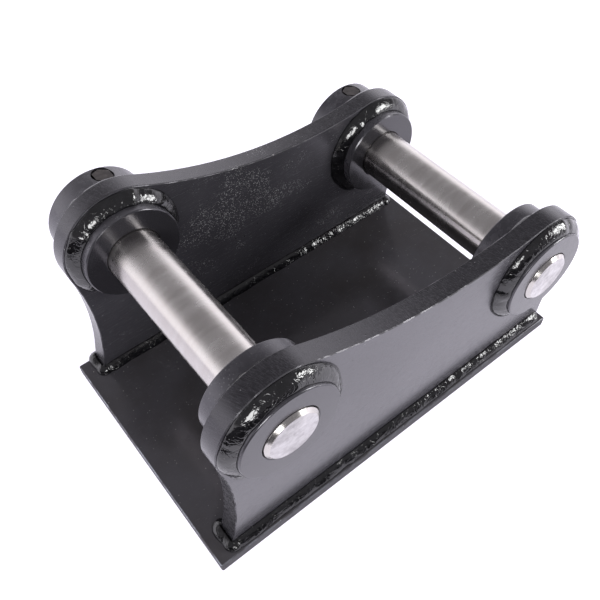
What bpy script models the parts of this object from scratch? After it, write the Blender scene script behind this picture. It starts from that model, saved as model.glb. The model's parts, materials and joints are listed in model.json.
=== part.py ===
"""Weld-on two-pin hanger: the headstock that lets a small excavator's dipper pick up an attachment.

A flat base plate carries two upright side plates. Each side plate has a rounded lobe at both pin
bores, with a turned boss through it. Two steel pins cross the gap, and a bolt in the top of each
far boss locks its pin. Metres, +Z up. X runs along the side plates from pin 1 to pin 2, Y along the
pins, from the near side plate (-Y) to the far one (+Y). The origin is the middle of the base plate's
underside, which is the face that is welded to the attachment.
"""

import math

import bmesh
import bpy
from mathutils import Matrix, Vector

# Base plate.
BASE_LENGTH = 0.328
BASE_WIDTH = 0.205
BASE_THICKNESS = 0.010
BASE_BEVEL = 0.0008

# Pins, as (x, z) of each axis. Pin 2 sits lower, so the hanger tips the attachment forward.
PIN_AXES = {1: (-0.1012, 0.1288), 2: (0.1311, 0.0909)}
PIN_RADIUS = 0.020
PIN_CHAMFER = 0.0024
PIN_PROUD = 0.0026
RUNNING_GAP = 0.0003

# Side plates. The gap between them sits a little to the far side of the base's centreline.
PLATE_THICKNESS = 0.015
PLATE_GAP = 0.1656
PLATE_GAP_CENTRE = 0.0029
LOBE_RADIUS = 0.0456
SADDLE_RADIUS = 0.350
END_SCALLOP_RADIUS = 0.216
LEFT_FOOT_X = -0.1499
RIGHT_FOOT_X = {"near": 0.1625, "far": 0.1555}
PLATE_BEVEL = 0.0006
# Each lobe is drawn as two arcs that meet at a point over the top, in this direction (x, z).
LOBE_SPLIT = {1: (-0.3, 1.0), 2: (0.6, 1.0)}

# Bosses: one turned piece each, through the side plate.
BOSS_RADIUS = 0.0365
LINK_GAP = 0.135
LINK_GAP_CENTRE = 0.0041
NEAR_BOSS_PROJECTION = 0.0099
FAR_BOSS_PROJECTION = 0.025
FAR_BOSS_HEAD_RADIUS = 0.0375
BOSS_CHAMFER = 0.0008

# Locking bolts: M8 hexagon heads sunk in a counterbore of the far bosses.
BOLT_Y = 0.1165
BOLT_TILT = {1: math.radians(14.0), 2: math.radians(5.0)}
BOLT_ACROSS_FLATS = 0.013
BOLT_HEAD_HEIGHT = 0.0053
BOLT_HEAD_TOP = 0.0369
BOLT_SHANK_RADIUS = 0.004
BOLT_TIP_CHAMFER = 0.0008
COUNTERBORE_RADIUS = 0.0080
BOLT_HOLE_OVERRUN = 0.004
BOLT_HOLE_STEPS = 32

# Weld beads.
BOSS_WELD_REACH = 0.0080
BOSS_WELD_HEIGHT = 0.0070
BOSS_WELD_ARCS = {
    ("near", "outer", 1): (-15.0, 215.0),
    ("near", "outer", 2): (0.0, 228.0),
    ("near", "inner", 1): (-15.0, 212.0),
    ("near", "inner", 2): (-15.0, 216.0),
    ("far", "inner", 1): (-10.0, 220.0),
    ("far", "inner", 2): (10.0, 240.0),
    ("far", "outer", 1): (-15.0, 210.0),
    ("far", "outer", 2): (-15.0, 214.0),
}
BASE_WELD_LEG = 0.006
EDGE_WELD_WIDTH = 0.0034
END_WELD_REACH = 0.0060
END_WELD_RISE = 0.85
BASE_WELD_SETBACK = 0.002
# Where a bead's crown stands, as a share of its legs. A flat fillet would be at one half.
BOSS_WELD_CROWN = 0.62
BASE_WELD_CROWN = 0.6

# Touching pieces stand this far apart.
GAP = 0.0003
ROUND_STEPS = 64
ARC_STEP = math.radians(5.0)
LONGEST_CHORD = 0.012
WELD_ARC_STEP = math.radians(9.0)
SHARP_ANGLE = math.radians(35.0)
MERGE_DISTANCE = 1e-6

# What follows from the driving dimensions.
PLATE_INNER = {
    "near": PLATE_GAP_CENTRE - PLATE_GAP / 2,
    "far": PLATE_GAP_CENTRE + PLATE_GAP / 2,
}
OUTWARD = {"near": -1.0, "far": 1.0}
PLATE_OUTER = {side: PLATE_INNER[side] + OUTWARD[side] * PLATE_THICKNESS for side in OUTWARD}
COLLAR_FACE = {
    "near": LINK_GAP_CENTRE - LINK_GAP / 2,
    "far": LINK_GAP_CENTRE + LINK_GAP / 2,
}
BORE_RADIUS = PIN_RADIUS + RUNNING_GAP


def clear_scene():
    for thing in list(bpy.data.objects):
        bpy.data.objects.remove(thing)


def make_material(name, colour, metallic, roughness):
    material = bpy.data.materials.new(name)
    material.use_nodes = True
    shader = material.node_tree.nodes["Principled BSDF"]
    shader.inputs["Base Color"].default_value = (*colour, 1.0)
    shader.inputs["Metallic"].default_value = metallic
    shader.inputs["Roughness"].default_value = roughness
    return material


def add_object(name, bm, material, matrix=None, smooth=False):
    """Turns a bmesh into a named object, with its faces pointing out."""
    bmesh.ops.recalc_face_normals(bm, faces=bm.faces)
    mesh = bpy.data.meshes.new(name)
    bm.to_mesh(mesh)
    bm.free()
    if smooth:
        mesh.shade_smooth()
        mesh.set_sharp_from_angle(angle=SHARP_ANGLE)
    mesh.materials.append(material)
    thing = bpy.data.objects.new(name, mesh)
    bpy.context.scene.collection.objects.link(thing)
    if matrix is not None:
        thing.matrix_world = matrix
    return thing


def hide_cutter(cutter):
    cutter.hide_render = True
    cutter.display_type = "WIRE"


def cut(thing, cutter):
    hide_cutter(cutter)
    boolean = thing.modifiers.new(f"cut {cutter.name}", "BOOLEAN")
    boolean.operation = "DIFFERENCE"
    boolean.solver = "EXACT"
    boolean.object = cutter


def along_y(x, z):
    """Places a piece turned about its own Z so that its axis runs along +Y through (x, z)."""
    return Matrix.Translation((x, 0.0, z)) @ Matrix.Rotation(math.radians(-90.0), 4, "X")


def turned(profile, steps=ROUND_STEPS):
    """Spins a closed (radius, height) profile about Z. A profile that starts and ends on the axis
    makes a solid bar, any other makes a ring."""
    bm = bmesh.new()
    verts = [bm.verts.new((radius, 0.0, height)) for radius, height in profile]
    solid = profile[0][0] == 0.0
    pairs = list(zip(verts, verts[1:]))
    if not solid:
        pairs.append((verts[-1], verts[0]))
    edges = [bm.edges.new(pair) for pair in pairs]
    bmesh.ops.spin(
        bm,
        geom=verts + edges,
        cent=(0.0, 0.0, 0.0),
        axis=(0.0, 0.0, 1.0),
        dvec=(0.0, 0.0, 0.0),
        angle=math.tau,
        steps=steps,
        use_merge=True,
        use_duplicate=False,
    )
    bmesh.ops.remove_doubles(bm, verts=bm.verts, dist=MERGE_DISTANCE)
    return bm


def prism_along_y(outline, y_start, y_end):
    """Extrudes an (x, z) outline along Y."""
    bm = bmesh.new()
    face = bm.faces.new([bm.verts.new((x, y_start, z)) for x, z in outline])
    grown = bmesh.ops.extrude_face_region(bm, geom=[face])
    moved = [item for item in grown["geom"] if isinstance(item, bmesh.types.BMVert)]
    bmesh.ops.translate(bm, verts=moved, vec=(0.0, y_end - y_start, 0.0))
    return bm


def bevel_edges(bm, edges, width):
    bmesh.ops.bevel(bm, geom=edges, offset=width, segments=1, profile=0.5, affect="EDGES")


def swept(sections):
    """Joins equal closed sections, one after the other, into a bar with flat ends."""
    bm = bmesh.new()
    rings = [[bm.verts.new(point) for point in section] for section in sections]
    count = len(rings[0])
    for ring, following in zip(rings, rings[1:]):
        for i in range(count):
            j = (i + 1) % count
            bm.faces.new((ring[i], ring[j], following[j], following[i]))
    bm.faces.new(rings[0])
    bm.faces.new(rings[-1])
    return bm


def circle_crossing(first, first_radius, second, second_radius, side):
    """The point at these two distances from two centres, on the left (+1) or right (-1) of the
    line from the first centre to the second."""
    first = Vector(first)
    line = Vector(second) - first
    reach = line.length
    along = (first_radius**2 - second_radius**2 + reach**2) / (2 * reach)
    across = math.sqrt(first_radius**2 - along**2)
    unit = line / reach
    return first + unit * along + Vector((-unit.y, unit.x)) * across * side


def arc(centre, radius, start, end):
    """Points on an arc from one point to another, the short way round, both ends included."""
    centre = Vector(centre)
    begin = math.atan2(*reversed(Vector(start) - centre))
    sweep = math.atan2(*reversed(Vector(end) - centre)) - begin
    sweep = (sweep + math.pi) % math.tau - math.pi
    count = max(2, math.ceil(abs(sweep) / ARC_STEP), math.ceil(abs(sweep) * radius / LONGEST_CHORD))
    angles = [begin + sweep * i / count for i in range(count + 1)]
    return [centre + Vector((math.cos(a), math.sin(a))) * radius for a in angles]


def foot(side, end):
    """The corner where a side plate's end meets the base plate."""
    x = LEFT_FOOT_X if end == "left" else RIGHT_FOOT_X[side]
    return Vector((x, BASE_THICKNESS + GAP))


def scallop_centre(side, end):
    """The end scallop passes through the foot and is tangent to the lobe above it."""
    pin = PIN_AXES[1 if end == "left" else 2]
    turn = -1 if end == "left" else 1
    return circle_crossing(
        pin, LOBE_RADIUS + END_SCALLOP_RADIUS, foot(side, end), END_SCALLOP_RADIUS, turn
    )


def plate_end_x(side, end, z):
    """How far the side plate reaches at a height, low down on its scalloped end."""
    centre = scallop_centre(side, end)
    across = math.sqrt(END_SCALLOP_RADIUS**2 - (z - centre.y) ** 2)
    return centre.x + across if end == "left" else centre.x - across


def plate_outline(side):
    """The side plate: foot, end scallop, lobe, saddle, lobe, end scallop, foot. Every arc is tangent
    to the lobe that it meets, so the scallops and the saddle follow from their radii alone."""
    pin_1 = Vector(PIN_AXES[1])
    pin_2 = Vector(PIN_AXES[2])
    left_foot = foot(side, "left")
    right_foot = foot(side, "right")
    left = scallop_centre(side, "left")
    right = scallop_centre(side, "right")
    to_saddle = LOBE_RADIUS + SADDLE_RADIUS
    saddle = circle_crossing(pin_1, to_saddle, pin_2, to_saddle, 1)

    def touch(pin, centre):
        return pin + (centre - pin).normalized() * LOBE_RADIUS

    top_1 = pin_1 + Vector(LOBE_SPLIT[1]).normalized() * LOBE_RADIUS
    top_2 = pin_2 + Vector(LOBE_SPLIT[2]).normalized() * LOBE_RADIUS
    runs = [
        arc(left, END_SCALLOP_RADIUS, left_foot, touch(pin_1, left)),
        arc(pin_1, LOBE_RADIUS, touch(pin_1, left), top_1),
        arc(pin_1, LOBE_RADIUS, top_1, touch(pin_1, saddle)),
        arc(saddle, SADDLE_RADIUS, touch(pin_1, saddle), touch(pin_2, saddle)),
        arc(pin_2, LOBE_RADIUS, touch(pin_2, saddle), top_2),
        arc(pin_2, LOBE_RADIUS, top_2, touch(pin_2, right)),
        arc(right, END_SCALLOP_RADIUS, touch(pin_2, right), right_foot),
    ]
    outline = list(runs[0])
    for run in runs[1:]:
        outline += run[1:]
    return outline


def build_base_plate(material):
    bm = bmesh.new()
    bmesh.ops.create_cube(bm, size=1.0)
    bmesh.ops.scale(bm, vec=(BASE_LENGTH, BASE_WIDTH, BASE_THICKNESS), verts=bm.verts)
    bmesh.ops.translate(bm, vec=(0.0, 0.0, BASE_THICKNESS / 2), verts=bm.verts)
    bevel_edges(bm, list(bm.edges), BASE_BEVEL)
    add_object("base_plate", bm, material)


def build_side_plate(side, material):
    start, end = sorted((PLATE_INNER[side], PLATE_OUTER[side]))
    bm = prism_along_y(plate_outline(side), start, end)
    rims = [edge for edge in bm.edges if abs(edge.verts[0].co.y - edge.verts[1].co.y) < GAP]
    bevel_edges(bm, rims, PLATE_BEVEL)
    plate = add_object(f"{side}_side_plate", bm, material, smooth=True)
    reach = PLATE_THICKNESS
    hole = BOSS_RADIUS + GAP
    for number, (x, z) in PIN_AXES.items():
        profile = [(0.0, end + reach), (hole, end + reach), (hole, start - reach), (0.0, start - reach)]
        cutter = add_object(f"{side}_boss_hole_{number}", turned(profile), material, along_y(x, z))
        cut(plate, cutter)


def boss_profile(side):
    """The ring's section as (radius, y). The far boss has a wider head outside its plate."""
    sign = OUTWARD[side]
    inner_face = COLLAR_FACE[side]
    chamfer = BOSS_CHAMFER
    if side == "near":
        outer_face = PLATE_OUTER[side] + sign * NEAR_BOSS_PROJECTION
        head = BOSS_RADIUS
        shoulder = []
    else:
        outer_face = PLATE_OUTER[side] + sign * FAR_BOSS_PROJECTION
        head = FAR_BOSS_HEAD_RADIUS
        step = PLATE_OUTER[side] + sign * GAP
        shoulder = [(BOSS_RADIUS, step), (head, step)]
    return [
        (BORE_RADIUS + chamfer, inner_face),
        (BOSS_RADIUS - chamfer, inner_face),
        (BOSS_RADIUS, inner_face + sign * chamfer),
        *shoulder,
        (head, outer_face - sign * chamfer),
        (head - chamfer, outer_face),
        (BORE_RADIUS + chamfer, outer_face),
        (BORE_RADIUS, outer_face - sign * chamfer),
        (BORE_RADIUS, inner_face + sign * chamfer),
    ]


def bolt_matrix(number):
    """On the pin's axis, with +Z pointing out along the bolt."""
    x, z = PIN_AXES[number]
    return Matrix.Translation((x, BOLT_Y, z)) @ Matrix.Rotation(BOLT_TILT[number], 4, "Y")


def build_boss(side, number, material):
    matrix = along_y(*PIN_AXES[number])
    boss = add_object(f"{side}_boss_{number}", turned(boss_profile(side)), material, matrix, smooth=True)
    if side == "near":
        return
    seat = BOLT_HEAD_TOP - BOLT_HEAD_HEIGHT - GAP
    hole = BOLT_SHANK_RADIUS + GAP
    above = FAR_BOSS_HEAD_RADIUS + BOLT_HOLE_OVERRUN
    below = PIN_RADIUS - BOLT_HOLE_OVERRUN
    profile = [
        (0.0, above),
        (COUNTERBORE_RADIUS, above),
        (COUNTERBORE_RADIUS, seat),
        (hole, seat),
        (hole, below),
        (0.0, below),
    ]
    cutter = add_object(f"bolt_hole_{number}", turned(profile, BOLT_HOLE_STEPS), material, bolt_matrix(number))
    cut(boss, cutter)


def build_pin(number, material):
    near_end = PLATE_OUTER["near"] - NEAR_BOSS_PROJECTION - PIN_PROUD
    far_end = PLATE_OUTER["far"] + FAR_BOSS_PROJECTION + PIN_PROUD
    profile = [
        (0.0, near_end),
        (PIN_RADIUS - PIN_CHAMFER, near_end),
        (PIN_RADIUS, near_end + PIN_CHAMFER),
        (PIN_RADIUS, far_end - PIN_CHAMFER),
        (PIN_RADIUS - PIN_CHAMFER, far_end),
        (0.0, far_end),
    ]
    add_object(f"pin_{number}", turned(profile), material, along_y(*PIN_AXES[number]), smooth=True)


def build_bolt(number, material):
    """A hexagon head on a plain shank, with its tip just clear of the pin."""
    seat = BOLT_HEAD_TOP - BOLT_HEAD_HEIGHT
    tip = BORE_RADIUS + RUNNING_GAP / 3
    corner = BOLT_ACROSS_FLATS / 2 / math.cos(math.radians(30.0))
    shank_profile = [
        (0.0, seat + BOLT_HEAD_HEIGHT / 2),
        (BOLT_SHANK_RADIUS, seat + BOLT_HEAD_HEIGHT / 2),
        (BOLT_SHANK_RADIUS, tip + BOLT_TIP_CHAMFER),
        (BOLT_SHANK_RADIUS - BOLT_TIP_CHAMFER, tip),
        (0.0, tip),
    ]
    matrix = bolt_matrix(number)
    shank = add_object(f"bolt_shank_{number}", turned(shank_profile, 24), material, matrix)
    hide_cutter(shank)

    head = bmesh.new()
    centre = Matrix.Translation((0.0, 0.0, seat + BOLT_HEAD_HEIGHT / 2))
    bmesh.ops.create_cone(
        head,
        cap_ends=True,
        segments=6,
        radius1=corner,
        radius2=corner,
        depth=BOLT_HEAD_HEIGHT,
        matrix=centre,
    )
    bolt = add_object(f"lock_bolt_{number}", head, material, matrix)
    union = bolt.modifiers.new("shank", "BOOLEAN")
    union.operation = "UNION"
    union.solver = "EXACT"
    union.object = shank


def build_boss_weld(side, face, number, material):
    """A fillet bead that runs most of the way round a boss, over the top."""
    x, z = PIN_AXES[number]
    outward = OUTWARD[side] if face == "outer" else -OUTWARD[side]
    plate_face = PLATE_OUTER[side] if face == "outer" else PLATE_INNER[side]
    wide_head = side == "far" and face == "outer"
    root = (FAR_BOSS_HEAD_RADIUS if wide_head else BOSS_RADIUS) + GAP
    reach = min(BOSS_WELD_REACH, LOBE_RADIUS - root - GAP)
    start, end = (math.radians(angle) for angle in BOSS_WELD_ARCS[side, face, number])
    count = math.ceil((end - start) / WELD_ARC_STEP)
    section = [
        (root, GAP),
        (root + reach, GAP),
        (root + reach * BOSS_WELD_CROWN, BOSS_WELD_HEIGHT * BOSS_WELD_CROWN),
        (root, BOSS_WELD_HEIGHT),
    ]
    sections = []
    for i in range(count + 1):
        angle = start + (end - start) * i / count
        sections.append(
            [
                (x + radius * math.cos(angle), plate_face + outward * height, z + radius * math.sin(angle))
                for radius, height in section
            ]
        )
    add_object(f"weld_{side}_{face}_boss_{number}", swept(sections), material)


def build_base_weld(side, face, material):
    """The long fillet between a side plate and the base plate."""
    outward = OUTWARD[side] if face == "outer" else -OUTWARD[side]
    plate_face = PLATE_OUTER[side] if face == "outer" else PLATE_INNER[side]
    width = EDGE_WELD_WIDTH if (side, face) == ("far", "outer") else BASE_WELD_LEG
    section = [
        (GAP, GAP),
        (GAP + width, GAP),
        (GAP + width * BASE_WELD_CROWN, GAP + BASE_WELD_LEG * BASE_WELD_CROWN),
        (GAP, GAP + BASE_WELD_LEG),
    ]
    sections = [
        [(x, plate_face + outward * across, BASE_THICKNESS + up) for across, up in section]
        for x in (LEFT_FOOT_X + BASE_WELD_SETBACK, RIGHT_FOOT_X[side] - BASE_WELD_SETBACK)
    ]
    add_object(f"weld_{side}_{face}_base", swept(sections), material)


def build_end_weld(side, end, material):
    """The bead that wraps a side plate's end, across the plate's thickness."""
    outward = -1.0 if end == "left" else 1.0
    height = BASE_WELD_LEG * END_WELD_RISE
    section = []
    for out, up in ((0.0, 0.0), (1.0, 0.0), (BASE_WELD_CROWN, BASE_WELD_CROWN), (0.0, 1.0)):
        z = BASE_THICKNESS + GAP + up * height
        x = plate_end_x(side, end, z) + outward * (GAP + out * END_WELD_REACH)
        section.append((x, z))
    sections = [
        [(x, y, z) for x, z in section] for y in (PLATE_INNER[side], PLATE_OUTER[side])
    ]
    add_object(f"weld_{side}_{end}_end", swept(sections), material)


def main():
    clear_scene()
    base_paint = make_material("base plate black paint", (0.011, 0.011, 0.013), 0.0, 0.20)
    plate_paint = make_material("side plate black paint", (0.012, 0.012, 0.014), 0.0, 0.18)
    boss_paint = make_material("boss black paint", (0.013, 0.013, 0.015), 0.0, 0.22)
    weld_paint = make_material("painted weld bead", (0.009, 0.009, 0.010), 0.0, 0.12)
    pin_steel = make_material("turned pin steel", (0.60, 0.57, 0.55), 1.0, 0.26)
    bolt_steel = make_material("bare bolt steel", (0.17, 0.14, 0.12), 0.9, 0.5)

    build_base_plate(base_paint)
    for side in OUTWARD:
        build_side_plate(side, plate_paint)
        for face in ("inner", "outer"):
            build_base_weld(side, face, weld_paint)
        build_end_weld(side, "left", weld_paint)
    build_end_weld("far", "right", weld_paint)
    for number in PIN_AXES:
        for side in OUTWARD:
            build_boss(side, number, boss_paint)
            for face in ("inner", "outer"):
                build_boss_weld(side, face, number, weld_paint)
        build_pin(number, pin_steel)
        build_bolt(number, bolt_steel)


main()
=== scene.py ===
import json
import math

import bmesh
import bpy
from mathutils import Matrix, Vector, noise


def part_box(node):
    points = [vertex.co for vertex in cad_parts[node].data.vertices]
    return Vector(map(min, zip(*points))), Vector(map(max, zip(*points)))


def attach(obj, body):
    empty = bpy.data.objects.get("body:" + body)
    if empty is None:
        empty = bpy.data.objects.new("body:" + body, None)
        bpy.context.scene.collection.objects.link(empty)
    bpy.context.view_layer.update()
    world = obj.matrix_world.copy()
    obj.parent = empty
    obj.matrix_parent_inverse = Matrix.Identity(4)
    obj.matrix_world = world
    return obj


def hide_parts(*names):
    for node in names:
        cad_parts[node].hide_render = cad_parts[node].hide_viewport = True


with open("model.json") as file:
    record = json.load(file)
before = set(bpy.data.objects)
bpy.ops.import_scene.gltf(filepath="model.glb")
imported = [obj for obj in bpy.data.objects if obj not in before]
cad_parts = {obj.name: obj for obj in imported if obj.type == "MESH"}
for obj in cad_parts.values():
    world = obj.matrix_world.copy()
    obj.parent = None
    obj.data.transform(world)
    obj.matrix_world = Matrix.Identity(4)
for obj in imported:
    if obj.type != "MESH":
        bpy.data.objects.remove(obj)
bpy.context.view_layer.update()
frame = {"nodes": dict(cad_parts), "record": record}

NODES = frame["nodes"]
BODIES = frame["record"]["behaviour"]["bodies"]
BODY_OF = {node: body for body, nodes in BODIES.items() for node in nodes}
PIN_NUMBERS = (1, 2)
SIDES = ("near", "far")
FACES = ("outer", "inner")
OUTWARD = {"near": -1.0, "far": 1.0}


# ---------------------------------------------------------------- measures read from the frame

def centre(node):
    low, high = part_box(node)
    return (low + high) / 2


PIN_AXIS = {number: centre(f"pin_{number}") for number in PIN_NUMBERS}
BASE_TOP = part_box("base_plate")[1].z


def plate_face(side, face):
    """The y of one face of a side plate, and which way along y it looks."""
    low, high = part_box(f"{side}_side_plate")
    outward = OUTWARD[side] if face == "outer" else -OUTWARD[side]
    return (low.y if outward < 0.0 else high.y), outward


# ---------------------------------------------------------------- material building

class Paint:
    """A short way to write node materials. Lengths are in metres, and scales are per metre."""

    def __init__(self, name, colour, metallic=0.0, roughness=0.4, ior=1.5):
        self.material = bpy.data.materials.new(name)
        self.material.use_nodes = True
        self.tree = self.material.node_tree
        self.shader = self.tree.nodes["Principled BSDF"]
        self.shader.inputs["Base Color"].default_value = (*colour, 1.0)
        self.shader.inputs["Metallic"].default_value = metallic
        self.shader.inputs["Roughness"].default_value = roughness
        self.shader.inputs["IOR"].default_value = ior
        self.where = self.tree.nodes.new("ShaderNodeTexCoord").outputs["Object"]
        self.true_normal = self.tree.nodes.new("ShaderNodeNewGeometry").outputs["True Normal"]

    def put(self, value, socket):
        if isinstance(value, bpy.types.NodeSocket):
            self.tree.links.new(value, socket)
        else:
            socket.default_value = value

    def math(self, operation, *values):
        node = self.tree.nodes.new("ShaderNodeMath")
        node.operation = operation
        for value, socket in zip(values, node.inputs):
            self.put(value, socket)
        return node.outputs[0]

    def add(self, total, *others):
        for other in others:
            total = self.math("ADD", total, other)
        return total

    def minus(self, first, second):
        return self.math("SUBTRACT", first, second)

    def times(self, product, *others):
        for other in others:
            product = self.math("MULTIPLY", product, other)
        return product

    def most(self, first, second):
        return self.math("MAXIMUM", first, second)

    def hypotenuse(self, a, b):
        return self.math("SQRT", self.add(self.times(a, a), self.times(b, b)))

    def remap(self, value, low, high, to_low=0.0, to_high=1.0):
        """A smooth step from one range to another. The first range may run downward."""
        node = self.tree.nodes.new("ShaderNodeMapRange")
        node.interpolation_type = "SMOOTHSTEP"
        for item, socket in zip((value, low, high, to_low, to_high), node.inputs):
            self.put(item, socket)
        return node.outputs[0]

    def mix(self, amount, first, second):
        node = self.tree.nodes.new("ShaderNodeMix")
        node.data_type = "RGBA"
        colours = [(*c, 1.0) if isinstance(c, tuple) else c for c in (first, second)]
        self.put(amount, node.inputs[0])
        self.put(colours[0], node.inputs[6])
        self.put(colours[1], node.inputs[7])
        return node.outputs[2]

    def parts(self, vector):
        node = self.tree.nodes.new("ShaderNodeSeparateXYZ")
        self.tree.links.new(vector, node.inputs[0])
        return node.outputs

    def vector(self, x, y, z):
        node = self.tree.nodes.new("ShaderNodeCombineXYZ")
        for value, socket in zip((x, y, z), node.inputs):
            self.put(value, socket)
        return node.outputs[0]

    def stretch(self, scale, turn=(0.0, 0.0, 0.0)):
        node = self.tree.nodes.new("ShaderNodeMapping")
        node.inputs["Scale"].default_value = scale
        node.inputs["Rotation"].default_value = turn
        self.tree.links.new(self.where, node.inputs["Vector"])
        return node.outputs[0]

    def noise(self, scale, detail=3.0, rough=0.5, where=None, distortion=0.0):
        node = self.tree.nodes.new("ShaderNodeTexNoise")
        self.tree.links.new(where or self.where, node.inputs["Vector"])
        node.inputs["Scale"].default_value = scale
        node.inputs["Detail"].default_value = detail
        node.inputs["Roughness"].default_value = rough
        node.inputs["Distortion"].default_value = distortion
        return node.outputs["Fac"]

    def cells(self, scale):
        """Distance to the nearest of many scattered points, and a random number for each."""
        node = self.tree.nodes.new("ShaderNodeTexVoronoi")
        self.tree.links.new(self.where, node.inputs["Vector"])
        node.inputs["Scale"].default_value = scale
        return node.outputs["Distance"], self.parts(node.outputs["Color"])[0]

    def facing(self, axis):
        """How squarely a face looks along an axis, either way."""
        return self.math("ABSOLUTE", self.parts(self.true_normal)["XYZ".index(axis)])

    def specks(self, scale, size, share, patch=None):
        """Round specks: 1 in their middles, on this share of the cells."""
        distance, chance = self.cells(scale)
        picked = self.math("LESS_THAN", chance, share)
        made = self.times(self.remap(distance, size, size * 0.4), picked)
        return made if patch is None else self.times(made, patch)

    def valley(self, value):
        """0 along the lines where a noise crosses its middle, rising on both sides of them."""
        return self.math("ABSOLUTE", self.minus(value, 0.5))

    def lines(self, scale, turn, width):
        """Fine scratches: the middle lines of a noise drawn out one way."""
        drawn = self.noise(1.0, 1.0, 0.5, where=self.stretch(scale, turn))
        return self.remap(self.valley(drawn), width, 0.0)

    def bump(self, height, distance, strength=1.0, under=None):
        node = self.tree.nodes.new("ShaderNodeBump")
        node.inputs["Strength"].default_value = strength
        node.inputs["Distance"].default_value = distance
        self.tree.links.new(height, node.inputs["Height"])
        if under is not None:
            self.tree.links.new(under, node.inputs["Normal"])
        return node.outputs["Normal"]

    def finish(self, colour, roughness, normal):
        self.tree.links.new(colour, self.shader.inputs["Base Color"])
        self.tree.links.new(roughness, self.shader.inputs["Roughness"])
        self.tree.links.new(normal, self.shader.inputs["Normal"])
        return self.material


# ---------------------------------------------------------------- materials

BLACK = (0.022, 0.0212, 0.0245)
DUST = (0.32, 0.31, 0.29)
# White for the dust specks on the plates and for the glints painted on the far plate.
WHITE_DUST_AND_GLINTS = (0.34, 0.34, 0.34)
BARE_STEEL_CHIP = (0.48, 0.47, 0.45)
# The colour of the highlight painted along the base plate's rounded corners.
CORNER_HIGHLIGHT = (0.30, 0.32, 0.36)
PAINT_IOR = 1.6
PAINT_TINT = (0.955, 0.935, 1.0, 1.0)

# White specks painted on the far plate as glints of its orange-peel paint lie round this point;
# the patch is wider than it is high.
GLINT_PATCH_CENTRE = Vector((-0.010, 0.0, 0.105))
GLINT_PATCH_NARROWING = 0.7


def sheet_black(name, roughness):
    """The start of a painted material: black, with reflections that are faintly violet."""
    p = Paint(name, BLACK, roughness=roughness, ior=PAINT_IOR)
    p.shader.inputs["Specular Tint"].default_value = PAINT_TINT
    return p


def base_paint():
    """Gloss black with dust and faint scratches. Its edges are duller, and a bluish highlight is
    painted in patches along its rounded corners, strongest at its ends.
    """
    p = sheet_black("base_plate_paint", 0.12)
    cloud = p.noise(14.0, 4.0, 0.6)
    haze = p.noise(160.0, 3.0, 0.6)
    dust = p.specks(210.0, 0.10, 0.12)
    fine = p.specks(420.0, 0.19, 0.20, p.remap(p.noise(30.0, 3.0), 0.36, 0.60))
    specks = p.most(dust, p.times(fine, 0.8))
    scratch = p.lines((60.0, 900.0, 60.0), (0.0, 0.0, 0.5), 0.012)
    facing = p.facing("Z")
    edge = p.remap(facing, 0.8, 0.4)
    corner = p.times(p.remap(facing, 0.45, 0.6), p.remap(facing, 0.97, 0.85))
    # Painted highlight: a pale bluish line on the rounded corners stands for the backdrop's
    # reflection, strongest where they face along X.
    corner_highlight = p.times(
        corner,
        p.remap(p.noise(70.0, 3.0, 0.6), 0.35, 0.6),
        p.remap(p.facing("X"), 0.2, 0.6, 0.25, 1.0),
    )
    colour = p.mix(p.remap(cloud, 0.35, 0.7), (0.050, 0.0465, 0.0482), (0.066, 0.0638, 0.0715))
    colour = p.mix(specks, colour, DUST)
    colour = p.mix(edge, colour, (0.008, 0.0077, 0.009))
    colour = p.mix(corner_highlight, colour, CORNER_HIGHLIGHT)
    roughness = p.add(
        p.remap(haze, 0.3, 0.8, 0.13, 0.24),
        p.times(scratch, 0.1),
        p.times(specks, 0.4),
        p.times(edge, 0.40),
    )
    normal = p.bump(p.noise(420.0, 2.0, 0.5), 0.00002, 0.55)
    normal = p.bump(specks, 0.0002, 0.5, normal)
    return p.finish(colour, roughness, normal)


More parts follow.
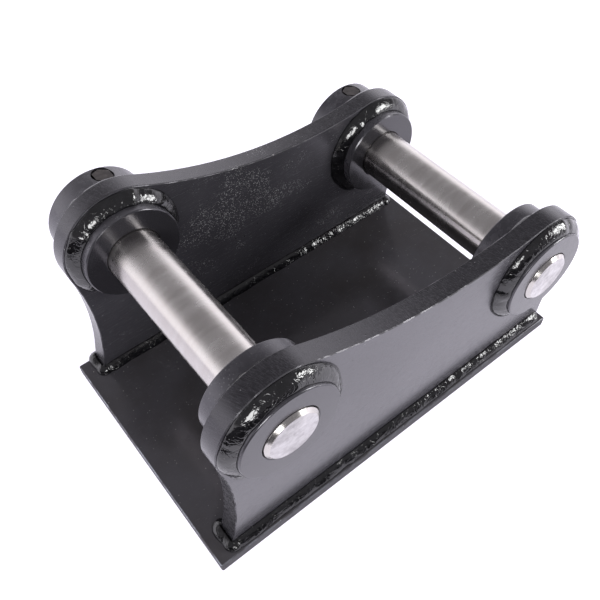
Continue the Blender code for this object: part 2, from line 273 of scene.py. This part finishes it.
def plate_paint():
    """Black over rolled faces and flame-cut edges: the cut leaves fine drag lines across them.

    The corners are dull in places and chipped in others, and white specks painted in a patch on
    the far plate stand for glints off its orange-peel paint."""
    p = sheet_black("side_plate_paint", 0.2)
    x, y, z = p.parts(p.where)
    facing = p.facing("Y")
    edge = p.remap(facing, 0.4, 0.2)
    corner = p.times(p.remap(facing, 0.3, 0.5), p.remap(facing, 0.97, 0.85))

    leaning = p.times(y, 0.3)
    across = p.vector(p.add(x, leaning), p.times(y, 0.06), p.add(z, leaning))
    drag = p.noise(1150.0, 2.0, 0.6, where=across)
    coarse_drag = p.noise(330.0, 2.0, 0.5, where=across)

    away = p.hypotenuse(
        p.times(p.minus(x, GLINT_PATCH_CENTRE.x), GLINT_PATCH_NARROWING), p.minus(z, GLINT_PATCH_CENTRE.z)
    )
    cluster = p.add(p.noise(45.0, 4.0, 0.6), p.remap(away, 0.010, 0.070, 0.13, -0.08))
    patch = p.times(p.remap(cluster, 0.5, 0.66), p.math("GREATER_THAN", y, 0.0))
    # Painted glints: the white specks in the far plate's patch stand for its orange-peel paint
    # catching the light; the sparser specks over both plates are dust.
    grain = p.most(p.specks(640.0, 0.36, 0.16, patch), p.specks(1100.0, 0.42, 0.4, patch))
    specks = p.most(p.times(grain, 0.9), p.times(p.specks(260.0, 0.12, 0.10), 0.5))
    pits = p.specks(230.0, 0.17, 0.15, p.remap(p.noise(25.0, 3.0), 0.42, 0.58))
    chips = p.times(corner, p.remap(p.noise(210.0, 3.0, 0.7), 0.64, 0.70))
    dull = p.times(corner, p.remap(p.noise(95.0, 3.0, 0.6), 0.56, 0.46))
    scratch = p.lines((45.0, 300.0, 900.0), (0.0, 0.55, 0.0), 0.010)

    cloud = p.remap(p.noise(12.0, 4.0, 0.6), 0.35, 0.7)
    face_colour = p.mix(cloud, (0.034, 0.0328, 0.0378), (0.046, 0.0443, 0.0508))
    drag_tone = p.remap(drag, 0.35, 0.65)
    edge_colour = p.mix(drag_tone, (0.010, 0.0096, 0.0112), (0.026, 0.0251, 0.0288))
    colour = p.mix(edge, face_colour, edge_colour)
    colour = p.mix(specks, colour, WHITE_DUST_AND_GLINTS)
    colour = p.mix(pits, colour, (0.004, 0.004, 0.004))
    colour = p.mix(chips, colour, BARE_STEEL_CHIP)
    colour = p.mix(dull, colour, (0.012, 0.0115, 0.0130))
    roughness = p.add(
        p.remap(p.noise(190.0, 4.0, 0.6), 0.3, 0.75, 0.21, 0.27),
        p.times(edge, p.remap(drag, 0.3, 0.7, -0.04, 0.05)),
        p.times(specks, 0.3),
        p.times(scratch, 0.12),
        p.times(dull, 0.35),
    )
    drags = p.add(p.times(drag, 0.5), coarse_drag)
    normal = p.bump(p.times(drags, edge), 0.00002, 0.6)
    normal = p.bump(p.noise(360.0, 3.0, 0.55), 0.00002, 0.4, normal)
    normal = p.bump(p.minus(specks, pits), 0.0001, 0.8, normal)
    return p.finish(colour, roughness, normal)


def boss_paint(number):
    """Black over turned steel: fine rings about the pin's axis, pale patches and specks on its
    upward faces, and a few pits.
    """
    p = sheet_black(f"boss_paint_{number}", 0.25)
    x, y, z = p.parts(p.where)
    axis = PIN_AXIS[number]
    radius = p.hypotenuse(p.minus(x, axis.x), p.minus(z, axis.z))
    flat = p.remap(p.facing("Y"), 0.5, 0.8)
    side = p.minus(1.0, flat)
    rings = p.noise(1.0, 2.0, 0.6, where=p.vector(p.times(radius, 1500.0), 0.0, 0.0))
    turned = p.noise(1.0, 2.0, 0.6, where=p.vector(0.0, p.times(y, 900.0), 0.0))
    top = p.remap(p.parts(p.true_normal)[2], 0.1, 0.8)
    patch = p.times(top, p.remap(p.noise(60.0, 3.0, 0.6), 0.42, 0.66))
    grain = p.specks(620.0, 0.30, 0.35, patch)
    pits = p.specks(330.0, 0.13, 0.14)

    side_colour = p.mix(p.noise(35.0, 3.0), (0.032, 0.0308, 0.0350), (0.052, 0.0500, 0.0574))
    colour = p.mix(side, BLACK, side_colour)
    colour = p.mix(p.times(patch, 0.35), colour, (0.11, 0.11, 0.12))
    colour = p.mix(p.times(grain, 0.8), colour, (0.26, 0.26, 0.26))
    colour = p.mix(pits, colour, (0.003, 0.003, 0.003))
    roughness = p.add(
        p.remap(p.noise(120.0, 4.0, 0.6), 0.3, 0.75, 0.15, 0.24), p.times(side, 0.08)
    )
    ringed = p.add(p.times(rings, flat), p.times(turned, side))
    normal = p.bump(ringed, 0.00003, 0.6)
    normal = p.bump(p.noise(420.0, 2.0, 0.5), 0.00003, 0.4, normal)
    normal = p.bump(p.minus(grain, pits), 0.00012, 0.7, normal)
    return p.finish(colour, roughness, normal)


def weld_paint(name, crinkle_height):
    """Thick gloss black that has run over the bead, crinkled and creased, with a few specks."""
    p = Paint(name, (0.008, 0.0078, 0.009), roughness=0.10, ior=PAINT_IOR)
    grit = p.noise(1000.0, 3.0, 0.6)
    crinkle = p.noise(170.0, 2.0, 0.5, distortion=1.3)
    crease = p.valley(p.noise(150.0, 2.0, 0.5, distortion=0.8))
    specks = p.specks(520.0, 0.2, 0.12)
    tone = p.remap(p.noise(160.0, 3.0), 0.4, 0.7)
    colour = p.mix(tone, (0.004, 0.0039, 0.0046), (0.009, 0.0087, 0.010))
    colour = p.mix(specks, colour, (0.16, 0.16, 0.15))
    roughness = p.remap(grit, 0.3, 0.75, 0.04, 0.10)
    normal = p.bump(crinkle, crinkle_height, 0.6)
    normal = p.bump(p.remap(crease, 0.0, 0.05), 0.00011, 0.6, normal)
    normal = p.bump(grit, 0.00003, 0.4, normal)
    normal = p.bump(specks, 0.0001, 0.5, normal)
    return p.finish(colour, roughness, normal)


def pin_steel(number):
    """Ground steel. The grinding runs round the pin, so highlights draw out along it."""
    p = Paint(f"pin_steel_{number}", (0.52, 0.49, 0.48), metallic=1.0, roughness=0.3)
    p.shader.inputs["Anisotropic"].default_value = 0.8
    p.shader.inputs["Anisotropic Rotation"].default_value = 0.25
    tangent = p.tree.nodes.new("ShaderNodeTangent")
    tangent.direction_type = "RADIAL"
    tangent.axis = "Y"
    p.tree.links.new(tangent.outputs[0], p.shader.inputs["Tangent"])
    end = p.remap(p.facing("Y"), 0.8, 0.95)
    side = p.minus(1.0, end)
    lathe = p.noise(1.0, 3.0, 0.65, where=p.stretch((18.0, 2600.0, 18.0)))
    broad = p.noise(1.0, 3.0, 0.6, where=p.stretch((30.0, 160.0, 30.0)))
    cloud = p.noise(38.0, 4.0, 0.6)
    mill = p.noise(1.0, 3.0, 0.7, where=p.stretch((130.0, 50.0, 1900.0), (0.0, -0.75, 0.0)))
    marks = p.specks(300.0, 0.11, 0.08)
    tone = p.remap(p.add(broad, p.times(cloud, 0.7)), 0.55, 1.15)
    mottle = p.add(
        p.remap(mill, 0.3, 0.7, 0.0, 0.6),
        p.remap(p.noise(230.0, 4.0, 0.65), 0.35, 0.65, 0.0, 0.5),
    )
    side_colour = p.mix(tone, (0.485, 0.458, 0.437), (0.555, 0.535, 0.515))
    end_colour = p.mix(mottle, (0.34, 0.325, 0.33), (0.60, 0.585, 0.59))
    colour = p.mix(end, side_colour, end_colour)
    colour = p.mix(marks, colour, (0.25, 0.21, 0.18))
    roughness = p.add(
        p.remap(broad, 0.3, 0.7, 0.20, 0.26),
        p.remap(cloud, 0.4, 0.75, 0.0, 0.05),
        p.times(end, 0.1),
    )
    ground = p.add(p.times(lathe, side), p.times(mill, end))
    normal = p.bump(ground, 0.000012, 0.8)
    return p.finish(colour, roughness, normal)


def bolt_steel():
    """Dark steel with a rough, slightly brown skin."""
    p = Paint("bolt_steel", (0.10, 0.085, 0.075), metallic=0.85, roughness=0.45)
    tone = p.remap(p.noise(260.0, 4.0, 0.65), 0.3, 0.75)
    colour = p.mix(tone, (0.030, 0.026, 0.025), (0.062, 0.054, 0.051))
    roughness = p.remap(p.noise(700.0, 3.0, 0.6), 0.3, 0.75, 0.30, 0.55)
    normal = p.bump(p.noise(1300.0, 3.0, 0.6), 0.00006, 0.7)
    return p.finish(colour, roughness, normal)


# ---------------------------------------------------------------- pieces

def make_object(name, bm, material):
    mesh = bpy.data.meshes.new(name)
    bm.to_mesh(mesh)
    bm.free()
    mesh.materials.append(material)
    made = bpy.data.objects.new(name, mesh)
    bpy.context.scene.collection.objects.link(made)
    return made


def add_piece(name, bm, material, node):
    """A smooth-shaded piece, shown in place of a CAD node and riding on that node's body."""
    bmesh.ops.recalc_face_normals(bm, faces=bm.faces)
    piece = make_object(name, bm, material)
    piece.data.shade_smooth()
    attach(piece, BODY_OF[node])
    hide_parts(node)
    return piece


# ---------------------------------------------------------------- rounded copies of CAD nodes

SAME_POINT = 1e-6
FLAT_BELOW = math.radians(0.2)
HARD_ABOVE = math.radians(25.0)
SMOOTH_BELOW = math.radians(32.0)
BASE_ROUNDING = 0.00035
PLATE_ROUNDING = 0.00025
TURNED_ROUNDING = 0.0003


def flatten_normals(mesh):
    """Gives each corner the mean normal of the faces round it, the large ones counting most.

    A flat face stays flat up to its rounded edges, and a turned surface still looks round."""
    faces_round = [[] for _ in mesh.vertices]
    for face in mesh.polygons:
        for vertex in face.vertices:
            faces_round[vertex].append(face)
    limit = math.cos(SMOOTH_BELOW)
    normals = []
    for face in mesh.polygons:
        for vertex in face.vertices:
            total = Vector()
            for other in faces_round[vertex]:
                if other.normal.dot(face.normal) > limit:
                    total += other.normal * other.area
            normals.append(total.normalized())
    mesh.normals_split_custom_set(normals)


def finish_node(node, material, rounding):
    """Shows a CAD node with its hard edges rounded and its turned surfaces smooth."""
    bm = bmesh.new()
    bm.from_mesh(NODES[node].data)
    bmesh.ops.remove_doubles(bm, verts=bm.verts, dist=SAME_POINT)
    bmesh.ops.dissolve_limit(
        bm, angle_limit=FLAT_BELOW, verts=bm.verts, edges=bm.edges, delimit={"NORMAL"}
    )
    hard = [
        edge for edge in bm.edges
        if len(edge.link_faces) == 2 and edge.calc_face_angle(0.0) > HARD_ABOVE
    ]
    bmesh.ops.bevel(
        bm, geom=hard, offset=rounding, segments=2, profile=0.6, affect="EDGES", clamp_overlap=True
    )
    piece = add_piece(f"{node}_finished", bm, material, node)
    flatten_normals(piece.data)


def finish_nodes():
    finish_node("base_plate", base_paint(), BASE_ROUNDING)
    plates = plate_paint()
    bolts = bolt_steel()
    for side in SIDES:
        finish_node(f"{side}_side_plate", plates, PLATE_ROUNDING)
    for number in PIN_NUMBERS:
        bosses = boss_paint(number)
        for side in SIDES:
            finish_node(f"{side}_boss_{number}", bosses, TURNED_ROUNDING)
        finish_node(f"pin_{number}", pin_steel(number), TURNED_ROUNDING)
        finish_node(f"lock_bolt_{number}", bolts, TURNED_ROUNDING)


# ---------------------------------------------------------------- weld beads

SECTION_POINTS = 13
STEP_ALONG = 0.0006
SINK = 0.00035
RIPPLE_PITCH = 0.0017
RIPPLE_HEIGHT = 0.00003
SKIN_HEIGHT = 0.00007
ROUNDED_END = 0.0045
JOINT_SPREAD = 0.0035

BOSS_BULGE = 0.0013
BASE_BULGE = 0.0008
END_BULGE = 0.0012

# Where each boss bead starts and ends, in degrees about the pin from +X, and how far along it
# one run of weld stops and the next starts.
BOSS_ARCS = {
    ("near", "outer", 1): (-15.0, 215.0, (0.155,)),
    ("near", "outer", 2): (0.0, 228.0, (0.045, 0.118)),
    ("near", "inner", 1): (-15.0, 212.0, (0.08,)),
    ("near", "inner", 2): (-15.0, 216.0, (0.07,)),
    ("far", "inner", 1): (-10.0, 220.0, (0.052, 0.098)),
    ("far", "inner", 2): (10.0, 240.0, (0.072,)),
    ("far", "outer", 1): (-15.0, 210.0, (0.09,)),
    ("far", "outer", 2): (-15.0, 214.0, (0.06,)),
}

# A boss bead's inner radius, its width, and its height as a share of the CAD fillet's.
BOSS_BEAD = (0.0365, 0.0081, 1.22)
FAR_HEAD_BEAD = (0.0375, 0.0066, 1.0)
NEAR_INNER_BEAD = (0.0365, 0.0046, 0.75)
BOSS_BEAD_MIDDLE = 0.004

BOSS_CRINKLE = 0.00026
BASE_CRINKLE = 0.0009

BASE_JOINTS = (0.31, 0.68)

# How far each end bead reaches out from the plate. It laps round both corners of the foot.
END_REACH = {("near", "left"): 0.0062, ("far", "left"): 0.0056, ("far", "right"): 0.0062}
END_RISE = 1.1
END_LAP = 0.0050
END_CORNER = 0.0012
END_JOINT = 0.4
# The left ends lean in over the weld's height, so at the base they stand this much further out
# than their weld's box says.
LEFT_END_LEAN = 0.0010


def wander(s, seed, pitch):
    """Smooth noise between about -1 and 1 along a bead."""
    return noise.noise(Vector((s / pitch, seed * 7.31, seed * 3.17))) * 2.0


def bead_section(s, length, seed, wide, high, bulge, joints):
    """The bead's outline at a distance s along it, as (along the first face, along the second).

    The bead is laid in runs. Where one run ends and the next starts there is a low spot and then a
    proud one, and the whole surface carries fine crescent ripples."""
    end = min(s, length - s)
    taper = 1.0
    if end < ROUNDED_END:
        taper = math.sqrt(max(0.0, 1.0 - (1.0 - end / ROUNDED_END) ** 2)) * 0.82 + 0.18
    join = 0.0
    for place in joints:
        away = (s - place) / JOINT_SPREAD
        join += -0.30 * math.exp(-(away**2)) + 0.20 * math.exp(-((away - 1.7) ** 2))
    lump = 0.09 * wander(s, seed, 0.016) + 0.018 * wander(s, seed + 3, 0.0045)
    width = wide * taper * (1.0 + 0.6 * lump + 0.25 * join)
    height = high * taper * (1.0 + 0.07 * wander(s, seed + 5, 0.013) + 0.2 * join)
    points = [(width, -SINK)]
    for i in range(1, SECTION_POINTS - 1):
        t = i / (SECTION_POINTS - 1)
        swell = math.sin(math.pi * t)
        crescent = s / RIPPLE_PITCH + 0.9 * swell + 0.35 * wander(s, seed + 9, 0.006)
        ripple = abs(math.sin(math.pi * crescent)) ** 0.7 - 0.6
        skin = noise.noise(Vector((s / 0.0026, t * 5.0, seed * 1.7)))
        shape = bulge * (math.sin(math.pi * t**0.85) ** 0.8) * (1.0 + join + 1.6 * lump)
        out = (shape + (RIPPLE_HEIGHT * ripple + SKIN_HEIGHT * skin) * swell**0.6) * taper
        points.append((width * (1.0 - t) + out * 0.72, height * t + out * 0.70))
    points += [(-SINK, height), (-SINK, -SINK)]
    return points


def add_bead(node, place, length, seed, wide, high, bulge, material, joints):
    """place(s, a, b) gives a point in space from a place along the bead and one in its section."""
    count = max(8, round(length / STEP_ALONG))
    bm = bmesh.new()
    rings = []
    for i in range(count + 1):
        s = length * i / count
        section = bead_section(s, length, seed, wide, high, bulge, joints)
        rings.append([bm.verts.new(place(s, a, b)) for a, b in section])
    around = len(rings[0])
    for ring, following in zip(rings, rings[1:]):
        for i in range(around):
            j = (i + 1) % around
            bm.faces.new((ring[i], ring[j], following[j], following[i]))
    bm.faces.new(rings[0])
    bm.faces.new(rings[-1])
    add_piece(f"bead_{node}", bm, material, node)


def boss_bead(side, face, number, seed, material):
    """The bead round a boss. The far bosses' outer heads are wider, so their beads are narrower,
    and the beads inside the near plate hardly show past its rim."""
    node = f"weld_{side}_{face}_boss_{number}"
    plate_y, outward = plate_face(side, face)
    axis = PIN_AXIS[number]
    low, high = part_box(node)
    special = {("far", "outer"): FAR_HEAD_BEAD, ("near", "inner"): NEAR_INNER_BEAD}
    root, width, rise = special.get((side, face), BOSS_BEAD)
    start, end, joints = BOSS_ARCS[side, face, number]
    start, end = math.radians(start), math.radians(end)
    middle = root + BOSS_BEAD_MIDDLE
    length = (end - start) * middle

    def place(s, a, b):
        angle = start + s / middle
        radius = root + a
        x = axis.x + radius * math.cos(angle)
        z = axis.z + radius * math.sin(angle)
        return Vector((x, plate_y + outward * b, z))

    tall = (high.y - low.y) * rise
    add_bead(node, place, length, seed, width, tall, BOSS_BULGE, material, joints)


def base_bead(side, face, seed, material):
    """The bead along a side plate's foot."""
    node = f"weld_{side}_{face}_base"
    plate_y, outward = plate_face(side, face)
    low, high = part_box(node)
    length = high.x - low.x

    def place(s, a, b):
        return Vector((low.x + s, plate_y + outward * b, BASE_TOP + a))

    joints = [length * part for part in BASE_JOINTS]
    tall, reach = high.z - low.z, high.y - low.y
    add_bead(node, place, length, seed, tall, reach, BASE_BULGE, material, joints)


def end_bead(side, end, seed, material):
    """The lumpy bead that boxes a side plate's foot: along one face, round the end and back."""
    node = f"weld_{side}_{end}_end"
    low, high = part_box(node)
    toward = -1.0 if end == "left" else 1.0
    foot = high.x - LEFT_END_LEAN if end == "left" else low.x
    first, last = (corner.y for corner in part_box(f"{side}_side_plate"))
    across = last - first - 2 * END_CORNER
    turn = END_CORNER * math.pi / 2
    length = 2 * END_LAP + 2 * turn + across

    def path(s):
        """The place along the foot and the way out from it."""
        if s < END_LAP:
            return foot - toward * (END_LAP - s + END_CORNER), first, 0.0, -1.0
        s -= END_LAP
        if s < turn:
            out_x, out_y = toward * math.sin(s / END_CORNER), -math.cos(s / END_CORNER)
            y = first + END_CORNER * (1 + out_y)
            return foot + END_CORNER * (out_x - toward), y, out_x, out_y
        s -= turn
        if s < across:
            return foot, first + END_CORNER + s, toward, 0.0
        s -= across
        if s < turn:
            out_x, out_y = toward * math.cos(s / END_CORNER), math.sin(s / END_CORNER)
            y = last - END_CORNER * (1 - out_y)
            return foot + END_CORNER * (out_x - toward), y, out_x, out_y
        return foot - toward * (s - turn + END_CORNER), last, 0.0, 1.0

    def place(s, a, b):
        x, y, out_x, out_y = path(s)
        return Vector((x + out_x * a, y + out_y * a, BASE_TOP + b))

    reach = END_REACH[side, end]
    tall = (high.z - low.z) * END_RISE
    joints = (length * END_JOINT,)
    add_bead(node, place, length, seed, reach, tall, END_BULGE, material, joints)


def build_beads():
    boss_material = weld_paint("boss_weld_paint", BOSS_CRINKLE)
    base_material = weld_paint("base_weld_paint", BASE_CRINKLE)
    seed = 1
    for side in SIDES:
        for face in FACES:
            for number in PIN_NUMBERS:
                boss_bead(side, face, number, seed, boss_material)
                seed += 1
            base_bead(side, face, seed, base_material)
            seed += 1
    for side, end in END_REACH:
        end_bead(side, end, seed, base_material)
        seed += 1


# ---------------------------------------------------------------- camera, light and floor

CAMERA_YAW = math.radians(36.58)
CAMERA_PITCH = math.radians(52.02)
CAMERA_ROLL = math.radians(-2.18)
CAMERA_PLACE = (-0.2082, -0.2615, 0.4940)
CAMERA_LENS = 42.73
LIT_CENTRE = Vector((0.0, 0.0, 0.08))

# The world is white below the first height and dim above the second.
WHITE_BELOW, DIM_ABOVE = 0.06, 0.48
WHITE_STRENGTH, DIM_STRENGTH = 1.80, 0.33
WORLD_LEAN = -0.38

# The floor lies this far under the base plate, so that the two don't share a plane.
FLOOR_DROP = 0.0003
FLOOR_RADIUS = 9.0

FLAG_PLACE = (-0.27, -0.37, 0.0)
FLAG_HALF_WIDTH = 0.9
FLAG_HEIGHT = 0.17


def add_camera():
    yaw, pitch, roll = CAMERA_YAW, CAMERA_PITCH, CAMERA_ROLL
    forward = Vector((
        math.sin(yaw) * math.cos(pitch), math.cos(yaw) * math.cos(pitch), -math.sin(pitch)
    ))
    level = Vector((math.cos(yaw), -math.sin(yaw), 0.0))
    above = level.cross(forward)
    right = level * math.cos(roll) + above * math.sin(roll)
    up = above * math.cos(roll) - level * math.sin(roll)
    data = bpy.data.cameras.new("camera")
    data.sensor_width = 36.0
    data.lens = CAMERA_LENS
    data.clip_start = 0.01
    camera = bpy.data.objects.new("camera", data)
    turn = Matrix((right, up, -forward)).transposed().to_4x4()
    camera.matrix_world = Matrix.Translation(CAMERA_PLACE) @ turn
    bpy.context.scene.collection.objects.link(camera)
    bpy.context.scene.camera = camera


def add_softbox(name, direction, distance, size, radiance):
    """A soft light this far from the object. Its radiance is what a mirror would show."""
    data = bpy.data.lights.new(name, "AREA")
    data.shape = "RECTANGLE"
    data.size, data.size_y = size
    data.energy = radiance * math.pi * size[0] * size[1]
    light = bpy.data.objects.new(name, data)
    way = Vector(direction).normalized()
    light.location = way * distance + LIT_CENTRE
    light.rotation_euler = way.to_track_quat("Z", "Y").to_euler()
    light.visible_camera = False
    bpy.context.scene.collection.objects.link(light)


def add_lights():
    add_softbox("front_right_box", (0.74, -0.58, 0.33), 1.6, (0.55, 0.50), 16.0)
    add_softbox("front_left_box", (-0.45, -0.82, 0.36), 1.6, (0.55, 0.40), 14.0)


def add_world():
    """White near the floor, as on a swept backdrop. It stays white higher up behind the object."""
    world = bpy.data.worlds.new("studio")
    world.use_nodes = True
    bpy.context.scene.world = world
    tree = world.node_tree
    where = tree.nodes.new("ShaderNodeTexCoord")
    parts = tree.nodes.new("ShaderNodeSeparateXYZ")
    lean = tree.nodes.new("ShaderNodeMath")
    lean.operation = "MULTIPLY_ADD"
    lean.inputs[1].default_value = WORLD_LEAN
    fade = tree.nodes.new("ShaderNodeMapRange")
    fade.interpolation_type = "SMOOTHSTEP"
    levels = (WHITE_BELOW, DIM_ABOVE, WHITE_STRENGTH, DIM_STRENGTH)
    for socket, value in zip(list(fade.inputs)[1:5], levels):
        socket.default_value = value
    tree.links.new(where.outputs["Generated"], parts.inputs[0])
    tree.links.new(parts.outputs[1], lean.inputs[0])
    tree.links.new(parts.outputs[2], lean.inputs[2])
    tree.links.new(lean.outputs[0], fade.inputs[0])
    background = tree.nodes["Background"]
    background.inputs["Color"].default_value = (1.0, 0.975, 1.04, 1.0)
    tree.links.new(fade.outputs[0], background.inputs["Strength"])


def matt_material(name, colour):
    material = bpy.data.materials.new(name)
    material.use_nodes = True
    shader = material.node_tree.nodes["Principled BSDF"]
    shader.inputs["Base Color"].default_value = colour
    shader.inputs["Roughness"].default_value = 0.9
    return material, shader


def add_floor():
    """A white table, lit enough to read as pure white."""
    material, shader = matt_material("floor", (0.8, 0.79, 0.81, 1.0))
    shader.inputs["Specular IOR Level"].default_value = 0.0
    shader.inputs["Emission Color"].default_value = (1.0, 0.965, 1.11, 1.0)
    shader.inputs["Emission Strength"].default_value = 0.76
    bm = bmesh.new()
    bmesh.ops.create_circle(bm, cap_ends=True, segments=96, radius=FLOOR_RADIUS)
    floor = make_object("floor", bm, material)
    floor.location = (0.0, 0.0, -FLOOR_DROP)


def add_black_flag():
    """A low dark card beyond the front left corner. Only shiny surfaces see it."""
    material, _ = matt_material("black_flag", (0.01, 0.01, 0.01, 1.0))
    bm = bmesh.new()
    across, top = FLAG_HALF_WIDTH, FLAG_HEIGHT
    corners = ((-across, 0, 0), (across, 0, 0), (across, 0, top), (-across, 0, top))
    bm.faces.new([bm.verts.new(corner) for corner in corners])
    flag = make_object("black_flag", bm, material)
    flag.location = FLAG_PLACE
    flag.rotation_euler = (0.0, 0.0, -CAMERA_YAW)
    flag.visible_camera = False
    flag.visible_diffuse = False
    flag.visible_shadow = False


add_camera()
add_lights()
add_black_flag()
add_world()
add_floor()
finish_nodes()
build_beads()
bpy.context.scene.view_settings.view_transform = "Standard"
